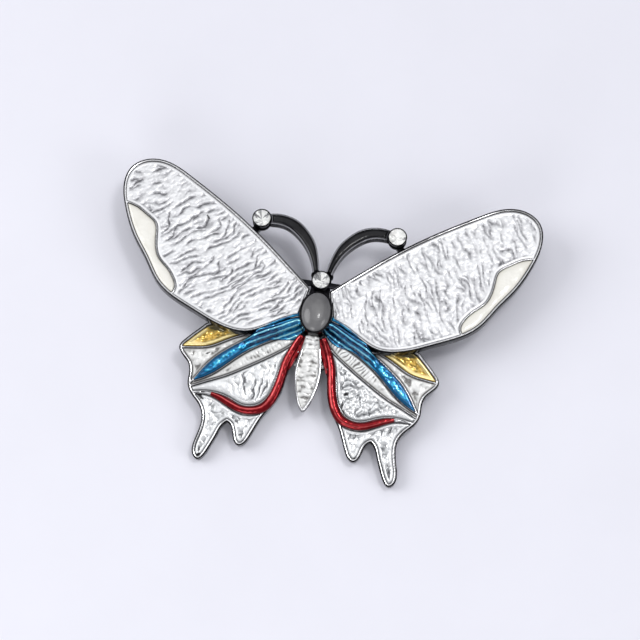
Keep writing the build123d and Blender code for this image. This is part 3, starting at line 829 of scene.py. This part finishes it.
def goldSurface(side):
    seed = {"left": 71, "right": 83}[side]

    def surface(x, y, depth):
        # a raised border falling to a dimpled middle, streaked along the leaf. The colour has a
        # painted highlight on the border, painted shade in the hollow middle, and painted shadow
        # where the forewing overhangs it
        along, across = turned(np.abs(x), planeY(y), -22)
        wall = ease(0, 0.22, depth)
        hollow = ease(0.30, 0.85, depth)
        streak = softNoise(along * 0.45, across * 2.2, seed)
        lump = softNoise(along * 1.5, across * 1.7, seed + 2)
        lump = lump + 0.5 * softNoise(along * 3.1, across * 3.4, seed + 3)
        relief = wall * (1 - 0.58 * hollow) + hollow * (0.20 * streak + 0.22 * lump)
        shadow = ease(-4.0, -3.5, planeY(y))
        height = -0.06 + 0.26 * relief
        return height, {"relief": np.clip(0.10 + 0.86 * relief - 0.8 * shadow, 0, 1)}
    return surface


upperLook = {"seed": 131, "crown": 0.04, "ripple": 0.0, "pitch": 0.9, "ridge": -60, "rough": 0.75,
             "fade": (7.0, 11.0), "tone": -0.14, "chips": [(-13.98, -7.05, 25, 0.7, 0.22)]}
paleLook = {"seed": 137, "crown": 0.16, "pitch": 0.48, "ridge": -38, "rough": 0.45,
            "fade": (7.0, 11.0), "chips": [],
            "left": {"ripple": 0.03, "tone": -0.10}, "right": {"ripple": 0.09, "tone": -0.09}}


def whiteSurface(look):
    def surface(x, y, depth):
        # a low crown, a quarter circle up from the edge, with fine |sin|^0.8 ripples across it
        # that fade outwards, and small lumps. The colour has painted shade and light from the
        # ripples, and a darker edge: partly the dark metal under thin enamel, partly painted shade
        # in the edge groove, with a painted highlight on the bead
        along, across = turned(np.abs(x), planeY(y), look["ridge"])
        rise = pillow(depth, 1.4)
        bend = 0.30 * softNoise(along * 0.7, across * 0.7, look["seed"])
        wave = ridges((along + bend) / look["pitch"], 0.8)
        ripple = look["ripple"] * ease(look["fade"][1], look["fade"][0], np.abs(x))
        lump = look["rough"] * layeredNoise(x * 0.9, y * 0.9, look["seed"] + 4, 3)
        calm = ease(0.1, 0.5, depth)
        chip = chipShade(x, planeY(y), look["chips"])
        bead, groove = meniscus(depth, 0.25)
        # painted tone: darker towards the edge and in the ripples' troughs, with the edge's painted
        # highlight and shade
        relief = 0.34 + look["tone"] + 0.33 * rise + 2.4 * groove
        relief = relief + calm * (13 * ripple * (wave - 0.66) + lump)
        height = look["crown"] * rise + bead + calm * (ripple * (wave - 0.6) + 0.16 * lump) - 0.03
        return height - 0.04 * chip, {"relief": np.clip(relief, 0, 1), "chip": chip}
    return surface


fanLook = {
    "left": {"seed": 91, "chips": []},
    "right": {"seed": 97, "chips": [(5.72, -9.98, 20, 0.62, 0.42), (5.35, -11.6, -82, 1.0, 0.26),
                                    (5.62, -12.55, -60, 0.75, 0.30)]},
}


def fanSurface(side):
    seed, chips = fanLook[side]["seed"], fanLook[side]["chips"]

    def surface(x, y, depth):
        # curved ridges run down from the upper edge on the left, |sin|^0.7 of a bent phase that
        # fades in places; on the right, lumps parted by creases where either of two noises
        # passes through nought
        dx, dy = np.abs(x) - 2.4, planeY(y) + 3.4
        along, across = turned(dx, dy, -32)
        bead, tone = meniscus(depth)
        calm = ease(0.2, 0.6, depth)
        if side == "left":
            bend = 1.7 * softNoise(across * 0.34, along * 0.20, seed)
            bend = bend + 0.45 * softNoise(dx * 0.8, dy * 0.8, seed + 1)
            phase = (along + 0.42 * across - 0.06 * across**2 + bend) / 1.15
            wave = ridges(phase, 0.7)
            fades = 0.35 + 0.65 * ease(-0.45, 0.15, softNoise(dx * 0.45, dy * 0.45, seed + 4))
            fades = fades * ease(11.5, 8.5, along)
            lump = softNoise(dx * 1.3, dy * 1.3, seed + 2)
            lump = lump + 0.5 * softNoise(dx * 3.0, dy * 3.0, seed + 3)
            relief = 0.84 - 1.05 * fades * (1 - wave) + 0.18 * lump
        else:
            pushX = 0.5 * softNoise(dx * 0.8, dy * 0.8, seed + 1)
            pushY = 0.5 * softNoise(dx * 0.8, dy * 0.8, seed + 2)
            blob = softNoise((dx + pushX) * 0.55, (dy + pushY) * 0.55, seed + 5)
            small = softNoise((dx + pushY) * 1.05, (dy + pushX) * 1.05, seed + 6)
            crease = np.minimum(np.abs(blob) / 0.18, 0.25 + np.abs(small) / 0.22)
            relief = 0.02 + 0.72 * np.clip(crease, 0, 1) ** 0.8
            relief = relief + 0.22 * softNoise(dx * 2.4, dy * 2.4, seed + 8)
        chip = chipShade(x, planeY(y), chips)
        height = -0.10 + bead + 0.20 * relief * calm + 0.10 * (1 - calm) - 0.05 * chip
        relief = relief * calm + 0.75 * (1 - calm)
        # the relief also sets the colour: painted shade in the troughs and creases, with the edge's
        # painted highlight and shade
        return height, {"relief": np.clip(0.10 + 0.72 * relief + tone, 0, 1), "chip": chip}
    return surface


tailLook = {
    "left": {"seed": 101, "chips": [(-14.55, -12.75, -37, 2.0, 0.62),
                                    (-13.1, -21.1, 20, 0.9, 0.4)]},
    "right": {"seed": 107, "chips": [(5.55, -14.75, -55, 1.1, 0.5), (8.1, -18.7, 30, 0.9, 0.4),
                                     (15.2, -12.6, -50, 1.0, 0.35)]},
}


def tailSurface(side):
    seed, chips = tailLook[side]["seed"], tailLook[side]["chips"]

    def surface(x, y, depth):
        # two lobes run down from the vein, with lumps and creases and a grey hollow at each end
        down = planeY(y)
        lump = layeredNoise(np.abs(x) * 0.95, down * 0.75, seed + 2, 3)
        crease = np.exp(-(softNoise(np.abs(x) * 0.8, down * 0.6, seed) / 0.07) ** 2)
        bead, tone = meniscus(depth)
        calm = ease(0.2, 0.6, depth)
        ends = ease(-18.6, -20.4, down) * ease(0.25, 0.6, depth)
        # painted shade in the creases and in the hollow at each end, with the edge's painted
        # highlight and shade
        relief = 0.70 + calm * (0.42 * lump - 0.42 * crease) - 0.42 * ends
        chip = chipShade(x, down, chips)
        height = -0.06 + bead + calm * (0.10 * lump - 0.07 * crease) - 0.06 * ends - 0.04 * chip
        return height, {"relief": np.clip(relief + tone, 0, 1), "chip": chip}
    return surface


# the middle of the right blue leaf, from the cabochon's centre
blueLine = smoothLine([(2.2, -1.6), (4.6, -2.9), (7.0, -4.15), (9.3, -5.5), (11.2, -7.0),
                       (13.0, -8.7), (14.6, -10.6), (15.4, -11.3)], 160)
blueLook = {"crest": 0.42, "edge": -0.50, "shoulder": 0.42, "foreRim": 6.43, "halfWidth": 0.78,
            "pitch": 0.60, "wander": 0.06,
            "left": {"seed": 113, "root": 0.26}, "right": {"seed": 127, "root": -0.02}}


def overRim(places):
    # the blue enamel laps over the forewing's edge and over the pale leaf's root near the body,
    # and covers half the cell walls everywhere else
    x = np.abs(places[:, 0])
    off = offLine(places[:, 0], planeY(places[:, 1]), blueLine)
    upper, lower = ease(0.15, 0.55, off), ease(-0.15, -0.55, off)
    teal = 0.35 * ease(3.9, 3.0, x) * (places[:, 0] < 0)
    return 0.12 + 0.42 * upper * ease(8.6, 7.0, x) + lower * (0.62 * ease(5.8, 3.4, x) + teal)


def offLine(x, y, line):
    # signed distance from a line: positive on its left, towards the head
    points = np.column_stack([np.abs(x), y])
    result = np.empty(len(points))
    ahead = np.gradient(line, axis=0)
    for block in np.array_split(np.arange(len(points)), len(points) // 4000 + 1):
        gap = points[block, None, :] - line
        near = (gap**2).sum(2).argmin(1)
        offset = gap[np.arange(len(block)), near]
        cross = ahead[near, 0] * offset[:, 1] - ahead[near, 1] * offset[:, 0]
        result[block] = np.sign(cross) * np.hypot(offset[:, 0], offset[:, 1])
    return result


def blueSurface(side):
    seed, rootTone = blueLook[side]["seed"], blueLook[side]["root"]

    def surface(x, y, depth):
        # steep sides with painted shade, one less a power of the distance from the back, up to a
        # broad textured back. Near the body the side towards the head climbs over the forewing's
        # edge, and grooves, a cosine across the leaf, run down the slope
        off = offLine(x, planeY(y), blueLine)
        along, across = turned(np.abs(x), planeY(y), -38)
        t = 1 - np.clip(depth / blueLook["shoulder"], 0, 1)
        wall = np.sqrt(np.maximum(1 - t**2.2, 0))
        root = ease(10.0, 7.4, np.abs(x))
        grain = softNoise(along * 1.6, across * 2.2, seed)
        grain = grain + 0.5 * softNoise(along * 3.3, across * 3.3, seed + 1)
        low = rootPlane["up"][2] * rootPlane["level"] + y * rootPlane["north"][2]
        climb = np.maximum((blueLook["foreRim"] - low) / rootPlane["up"][2] - blueLook["edge"], 0)
        slope = ease(-1.0, 0.9, off / blueLook["halfWidth"])
        wander = blueLook["wander"] * softNoise(along * 0.8, across * 0.5, seed + 3)
        grooves = np.cos(2 * np.pi * (off + wander) / blueLook["pitch"])
        # painted highlight lines on the groove crests near the body
        bright = np.maximum(grooves, 0) ** 1.6
        back = ease(0.25, 0.75, depth) * (1 - root)
        height = blueLook["edge"] + blueLook["crest"] * (1 - 0.6 * root) * wall
        height = height + back * 0.06 * grain
        height = height + root * (climb * slope + wall * (0.06 * grooves + 0.03 * grain))
        # painted highlight: a bright line a little in from the edge
        edge = np.exp(-((depth - 0.20) / 0.07) ** 2)
        relief = 0.08 + 0.20 * wall + 0.30 * edge + back * (0.42 + 0.36 * grain)
        close = ease(5.2, 3.6, np.abs(x))
        relief = relief + root * wall * (0.92 * bright + 0.20 * grain - 0.06 + rootTone * close)
        return height, {"relief": np.clip(relief, 0, 1)}
    return surface


for side in ("left", "right"):
    wing = f"hindwing_{side}_"
    enamelPiece(wing + "gold_leaf", gold, "gold_enamel", goldSurface(side), 0.08)
    enamelPiece(wing + "upper_cell", whitePearl, "white_enamel", whiteSurface(upperLook), 0.09)
    enamelPiece(wing + "blue_leaf", blue, "blue_enamel", blueSurface(side), 0.08, overRim, 1.1)
    enamelPiece(wing + "pale_leaf", whitePearl, "white_enamel",
                whiteSurface({**paleLook, **paleLook[side]}), 0.08)
    enamelPiece(wing + "silver_fan", greyPearl, "silver_grey_enamel", fanSurface(side), 0.09)
    enamelPiece(wing + "tail_enamel", greyPearl, "silver_grey_enamel", tailSurface(side), 0.09)
print("hindwing enamel made")

veinLook = {
    # places on the right hindwing, about the cabochon's centre, and the half width at each
    "line": [(1.55, -2.95), (2.15, -4.1), (2.75, -5.5), (3.2, -7.0), (3.45, -8.7), (3.78, -10.4),
             (4.4, -12.2), (5.45, -13.55), (7.0, -14.1), (8.5, -14.08), (10.0, -13.55),
             (11.4, -12.95), (12.7, -12.55)],
    "width": [0.42, 0.50, 0.56, 0.60, 0.62, 0.64, 0.68, 0.66, 0.60, 0.56, 0.52, 0.46, 0.30],
    "height": 0.62, "lift": 0.08, "sink": 0.35, "rings": 260, "around": 22, "webDrop": 0.52,
    # streak: the angle round the ridge's section where the painted highlight line lies, on a
    # different side for each wing
    "rise": 0.65, "left": {"sign": -1, "seed": 139, "streak": 1.3},
    "right": {"sign": 1, "seed": 149, "streak": 1.85},
}


def webGrow(places):
    # beside the body the red enamel spreads over the wing's edge towards the abdomen
    down = planeY(places[:, 1])
    inner = ease(0.2, -0.2, offLine(places[:, 0], down, smoothLine(veinLook["line"], 160)))
    return 0.13 + 0.42 * inner * ease(-8.6, -7.2, down)


def webSurface(x, y, depth):
    # low red enamel on either side of the vein, a little lumpy, with a bare silver tip
    lump = softNoise(x * 1.4, y * 1.4, 167)
    height = -veinLook["webDrop"] + 0.10 * ease(0, 0.25, depth) + 0.04 * lump
    tip = ease(11.9, 12.4, np.abs(x))
    # a little darker at the edge: painted shade
    relief = np.clip(0.30 + 0.25 * ease(0, 0.3, depth) + 0.2 * lump, 0, 1)
    return height, {"relief": relief, "silver": tip}


def veinPiece(side):
    # a rounded ridge, half an ellipse on a flat base, carried down the line of the vein; its
    # width follows the list of half widths, and fine beads run along its back. Its colour has a
    # painted highlight line and painted shade down its sides
    look = {**veinLook, **veinLook[side]}
    sign = look["sign"]
    line = smoothLine(look["line"], look["rings"])
    width = smoothLine(np.array(look["width"])[:, None], look["rings"])
    ahead = np.gradient(line, axis=0)
    ahead = ahead / np.linalg.norm(ahead, axis=1)[:, None]
    left = np.column_stack([-ahead[:, 1], ahead[:, 0]])
    turn = np.linspace(0, np.pi, look["around"])[None, :]
    reach = np.cumsum(np.r_[0, np.linalg.norm(np.diff(line, axis=0), axis=1)])[:, None]
    bead = 0.022 * softNoise(reach * 1.8 + 0 * turn, 1.2 * turn + 0 * reach, look["seed"])
    crest = look["height"] * (width / max(look["width"])) ** 0.8
    sideways = width * np.cos(turn)
    height = (crest + bead) * np.sin(turn) ** 0.9
    sideways = np.hstack([sideways, -width, width])
    height = np.hstack([height, np.full((len(line), 2), -look["sink"])])
    flat = line[:, None, :] + sideways[..., None] * left[:, None, :]
    flat = flat * [sign, 1] + [0, flatCentre]
    plane = flatTop("hindwing_right_tail_enamel")
    climb = look["rise"] * ease(-5.2, -3.0, line[:, 1])[:, None]
    level = plane["level"] + look["lift"] + height + climb * (height > 0)
    points = onPlane(plane, flat, level).reshape(-1, 3)
    rows, columns = height.shape
    faces = wrapGrid(rows, columns)[:-columns]
    caps = [np.arange(columns)[::-1], np.arange(columns) + (rows - 1) * columns]
    if sign < 0:
        faces = faces[:, ::-1]
        caps = [cap[::-1] for cap in caps]
    # painted light on the ridge: a highlight line at the streak angle, lighter on the crest, and
    # painted shade down the sides
    streak = np.exp(-((turn - look["streak"]) / 0.15) ** 2)
    shade = np.clip(0.06 + 0.48 * np.sin(turn) ** 0.8 + 0.46 * streak + 3.0 * bead, 0, 1)
    shade = np.hstack([shade, np.zeros((rows, 2))]).ravel()
    webPoints, webFaces, webShades = enamelMesh(f"hindwing_{side}_red_vein", webSurface, 0.08,
                                                webGrow, 1.0)
    allFaces = [tuple(f) for f in faces] + [tuple(c) for c in caps]
    allFaces += [tuple(f) for f in webFaces + len(points)]
    shades = {"relief": np.concatenate([shade, webShades["relief"]]),
              "silver": np.concatenate([0 * shade, webShades["silver"]])}
    piece = addMesh(f"hindwing_{side}_red_ridge", np.vstack([points, webPoints]), allFaces, red, 60,
                    shades)
    return finishPiece(piece, "red_enamel", f"hindwing_{side}_red_vein")


for side in ("left", "right"):
    veinPiece(side)
print("red veins made")


def abdomenSurface(x, y, depth):
    # a long pillow with wavy level ripples
    rise = pillow(depth, 1.1)
    bend = 0.45 * softNoise(x * 0.6, y * 0.5, 151) + 0.16 * softNoise(x * 1.8, y * 1.8, 153)
    wave = ridges((y + bend) / 0.74, 0.8)
    lump = layeredNoise(x * 1.2, y * 1.2, 157, 2)
    calm = ease(0, 0.35, depth)
    neck = ease(-4.6, -3.2, planeY(y))
    height = 0.02 + 0.20 * rise + calm * (0.050 * (wave - 0.6) + 0.06 * lump) + 0.85 * neck
    # painted shade where the pillow falls to the edge and in the ripples' troughs
    relief = 0.12 + 0.32 * rise + calm * (0.34 * (wave - 0.55) + 0.45 * lump)
    return height, {"relief": np.clip(relief, 0, 1)}


def abdomenGrow(places):
    # the enamel runs up under the cabochon's setting
    across, down = np.abs(places[:, 0]), planeY(places[:, 1])
    under = ease(0.75, 0.45, across) * ease(-3.8, -3.3, down)
    return 0.05 + 0.20 * ease(-5.2, -4.2, down) + 0.55 * under


enamelPiece("abdomen_enamel", whitePearl, "white_enamel", abdomenSurface, 0.07, abdomenGrow)

bezelLook = {"wall": 0.26, "reach": 1.2, "step": 0.3, "turns": 120}


def bezelPiece():
    # a thin wall with a rounded lip over a flat seat, carried round the oval
    middle, half, bottom, top = nodeBox("cabochon_bezel")
    wall, reach, step = (bezelLook[key] for key in ("wall", "reach", "step"))
    profile = np.vstack([[(-reach, bottom), (0, bottom)], rolledLip(wall, top),
                         [(-wall, bottom + step), (-reach, bottom + step - 0.05)]])
    points, faces = carriedRound(profile, middle, half, bezelLook["turns"])
    piece = addMesh("cabochon_bezel_lip", points, faces, darkPlating, 60)
    return finishPiece(piece, "dark_plating", "cabochon_bezel")


domeLook = {"girdle": 0.5, "foot": 0.94, "rings": 27, "turns": 96}


def cabochonPiece():
    # an oval dome: height falls from the top as the square root of one minus the radius squared,
    # over a short girdle and a flat base
    middle, half, bottom, top = nodeBox("cabochon")
    girdle, turns = bottom + domeLook["girdle"], domeLook["turns"]
    up = np.linspace(0, np.pi / 2, domeLook["rings"] + 1)[:-1]
    ring = np.concatenate([[domeLook["foot"]], np.cos(up)])
    level = np.concatenate([[bottom], girdle + (top - girdle) * np.sin(up)])
    around = np.linspace(0, 2 * np.pi, turns, endpoint=False)[:, None]
    points = np.stack([middle[0] + half[0] * np.cos(around) * ring,
                       middle[1] + half[1] * np.sin(around) * ring, level + 0 * around], -1)
    columns = len(ring)
    faces = wrapGrid(turns, columns).reshape(turns, columns, 4)[:, :-1].reshape(-1, 4)
    points = np.vstack([points.reshape(-1, 3), [(*middle, bottom), (*middle, top)]])
    start = np.arange(turns) * columns
    follow = np.roll(start, -1)
    under = np.column_stack([follow, start, np.full(turns, turns * columns)])
    over = np.column_stack([start, follow, np.full(turns, turns * columns + 1)])
    over = over + [columns - 1, columns - 1, 0]
    piece = addMesh("cabochon_dome", points, [*faces, *under, *over], stoneGrey, 50)
    return finishPiece(piece, "grey_cabochon", "cabochon")


bezelPiece()
cabochonPiece()

cupLook = {"wall": 0.11, "taper": 0.14, "open": 0.06, "turns": 64, "hole": 0.35, "floor": 0.22,
           "foot": 0.08}


def cupPiece(name):
    # a pressed cup: a wall that opens a little upwards to a rolled lip
    middle, half, bottom, top = nodeBox(name)
    look = cupLook
    radius = half[0] - look["open"]
    hole, taper = look["hole"] - radius, look["taper"]
    profile = np.vstack([
        [(hole, bottom), (-taper - 0.06, bottom), (-taper, bottom + look["foot"])],
        rolledLip(look["wall"], top),
        [(-look["wall"] - taper, bottom + look["floor"] + 0.08), (hole, bottom + look["floor"])]])
    points, faces = carriedRound(profile, middle, (radius, radius), look["turns"])
    piece = addMesh(name + "_pressed", points, faces, darkPlating, 50)
    return finishPiece(piece, "dark_plating", name)


stoneLook = {"table": 0.56, "star": 0.78, "crown": 0.42, "starDrop": 0.42, "girdle": 0.10,
             "culet": 0.10, "turn": 11.0, "fit": 0.985}


def stonePiece(name, seed):
    # a chaton: an eight-sided table, star and main facets to a sixteen-sided girdle, and a
    # silvered back; each face keeps its own random brightness, which the foil shows as painted
    # reflections
    middle, half, bottom, top = nodeBox(name)
    look = stoneLook
    girdle = top - look["crown"]

    def ring(share, level, count, twist=0.0):
        angle = np.radians(look["turn"] + twist) + np.arange(count) * 2 * np.pi / count
        reach = half[0] * look["fit"] * share
        flat = middle + reach * np.column_stack([np.cos(angle), np.sin(angle)])
        return np.column_stack([flat, np.full(count, level)])

    starTop = top - look["crown"] * look["starDrop"]
    points = np.vstack([
        ring(look["table"], top, 8), ring(look["star"], starTop, 8, 22.5), ring(1.0, girdle, 16),
        ring(1.0, girdle - look["girdle"], 16), ring(look["culet"], bottom, 8),
        [(*middle, bottom)]])
    star, upper, lower, low, tip = 8, 16, 32, 48, 56      # where each ring starts
    front, back = [tuple(range(8))], []
    for k in range(8):
        n, odd, even = (k + 1) % 8, 2 * k + 1, (2 * k + 2) % 16
        front += [(k, star + k, n), (k, upper + 2 * k, upper + odd, star + k),
                  (n, star + k, upper + odd, upper + even)]
        back += [(lower + 2 * k, low + k, low + n, lower + odd),
                 (lower + odd, low + n, lower + even), (low + k, tip, low + n)]
    front += [(upper + k, lower + k, lower + (k + 1) % 16, upper + (k + 1) % 16) for k in range(16)]
    mesh = bpy.data.meshes.new(name + "_cut")
    mesh.from_pydata((points * mm).tolist(), [], front + back)
    mesh.materials.append(crystal)
    mesh.materials.append(foil)
    paints = np.repeat([0, 1], [len(front), len(back)]).astype(np.int32)
    mesh.polygons.foreach_set("material_index", paints)
    # a random painted brightness for each face, shown by the foil as painted reflections
    facet = mesh.attributes.new("facet", "FLOAT", "FACE")
    tone = np.random.default_rng(seed).random(len(front) + len(back))
    facet.data.foreach_set("value", tone.astype(np.float32))
    return finishPiece(addObject(name + "_cut", mesh), "crystal", name)


for number, prefix in enumerate(("head", "antenna_left", "antenna_right")):
    cupPiece(prefix + "_cup")
    stonePiece(prefix + "_stone", 5 + number)


def antennaSurface(x, y, depth):
    # a rounded bead of enamel, a little uneven
    rise = pillow(depth, 0.55)
    return -0.10 + 0.28 * rise + 0.012 * softNoise(x * 1.5, y * 1.5, 163), {"relief": rise}


for side in ("left", "right"):
    enamelPiece(f"antenna_{side}_enamel", black, "black_enamel", antennaSurface, 0.06, floor=0.4)
print("stones, cups, cabochon and antennae made")

view = {"azimuth": 8.63, "elevation": 71.2, "target": (0.645, 0.375, 6.0), "distance": 329.6,
        "lens": 135.0}
studio = {
    "floor": (0.80, 0.80, 0.87), "halfFloor": 2.0,
    "world": (0.50, 0.51, 0.55), "worldStrength": 0.50,
    # each light: place and size in millimetres, watts
    "lights": [
        ("leftSoftbox", (-330, -10, 295), 340, 0.96),
        ("wideOverhead", (60, 170, 520), 620, 0.80),
        ("smallOverhead", (112, 40, 440), 90, 0.36),
        ("rightSoftbox", (350, -120, 230), 200, 0.34),
        ("frontFill", (-60, -350, 170), 220, 0.42),
    ],
}

# the floor is in metres, level with the fitting the brooch stands on
floorMesh = bpy.data.meshes.new("studioFloor")
corners = np.array([(-1, -1, 0), (1, -1, 0), (1, 1, 0), (-1, 1, 0)]) * studio["halfFloor"]
floorMesh.from_pydata(corners.tolist(), [], [(0, 1, 2, 3)])
floor = addObject("studioFloor", floorMesh)
floorPaint, floorShader, start, place = newMaterial("paleFloor", Specular_IOR_Level=0.2)
cloud = place.noise(38.0, 4, 0.6)
floorShade = tuple(c * 0.97 for c in studio["floor"])
connect(floorPaint, floorShader, Roughness=0.75 + cloud * 0.1,
        Base_Color=cloud.colours([(0.3, floorShade), (0.7, studio["floor"])]),
        Normal=bumped(start, place.noise(170.0, 4, 0.6), 0.12, 0.25))
floorMesh.materials.append(floorPaint)

world = bpy.data.worlds.new("softRoom")
world.use_nodes = True
sky = world.node_tree.nodes["Background"].inputs
sky["Color"].default_value = (*studio["world"], 1)
sky["Strength"].default_value = studio["worldStrength"]
bpy.context.scene.world = world

for name, spot, size, watts in studio["lights"]:
    lamp = bpy.data.lights.new(name, "AREA")
    lamp.shape = "DISK"
    lamp.size = size * mm
    lamp.energy = watts
    holder = addObject(name, lamp)
    holder.location = [c * mm for c in spot]
    holder.rotation_euler = (-holder.location).to_track_quat("-Z", "Y").to_euler()

azimuth, elevation = math.radians(view["azimuth"]), math.radians(view["elevation"])
back = np.array([math.sin(azimuth) * math.cos(elevation), -math.cos(azimuth) * math.cos(elevation),
                 math.sin(elevation)])
cameraData = bpy.data.cameras.new("studioCamera")
cameraData.lens = view["lens"]
cameraData.clip_start, cameraData.clip_end = 0.01, 20.0
camera = addObject("studioCamera", cameraData)
camera.location = (np.array(view["target"]) + back * view["distance"]) * mm
camera.rotation_euler = (math.pi / 2 - elevation, 0, azimuth)
bpy.context.scene.camera = camera
bpy.context.scene.view_settings.view_transform = "Standard"
print("studio ready")
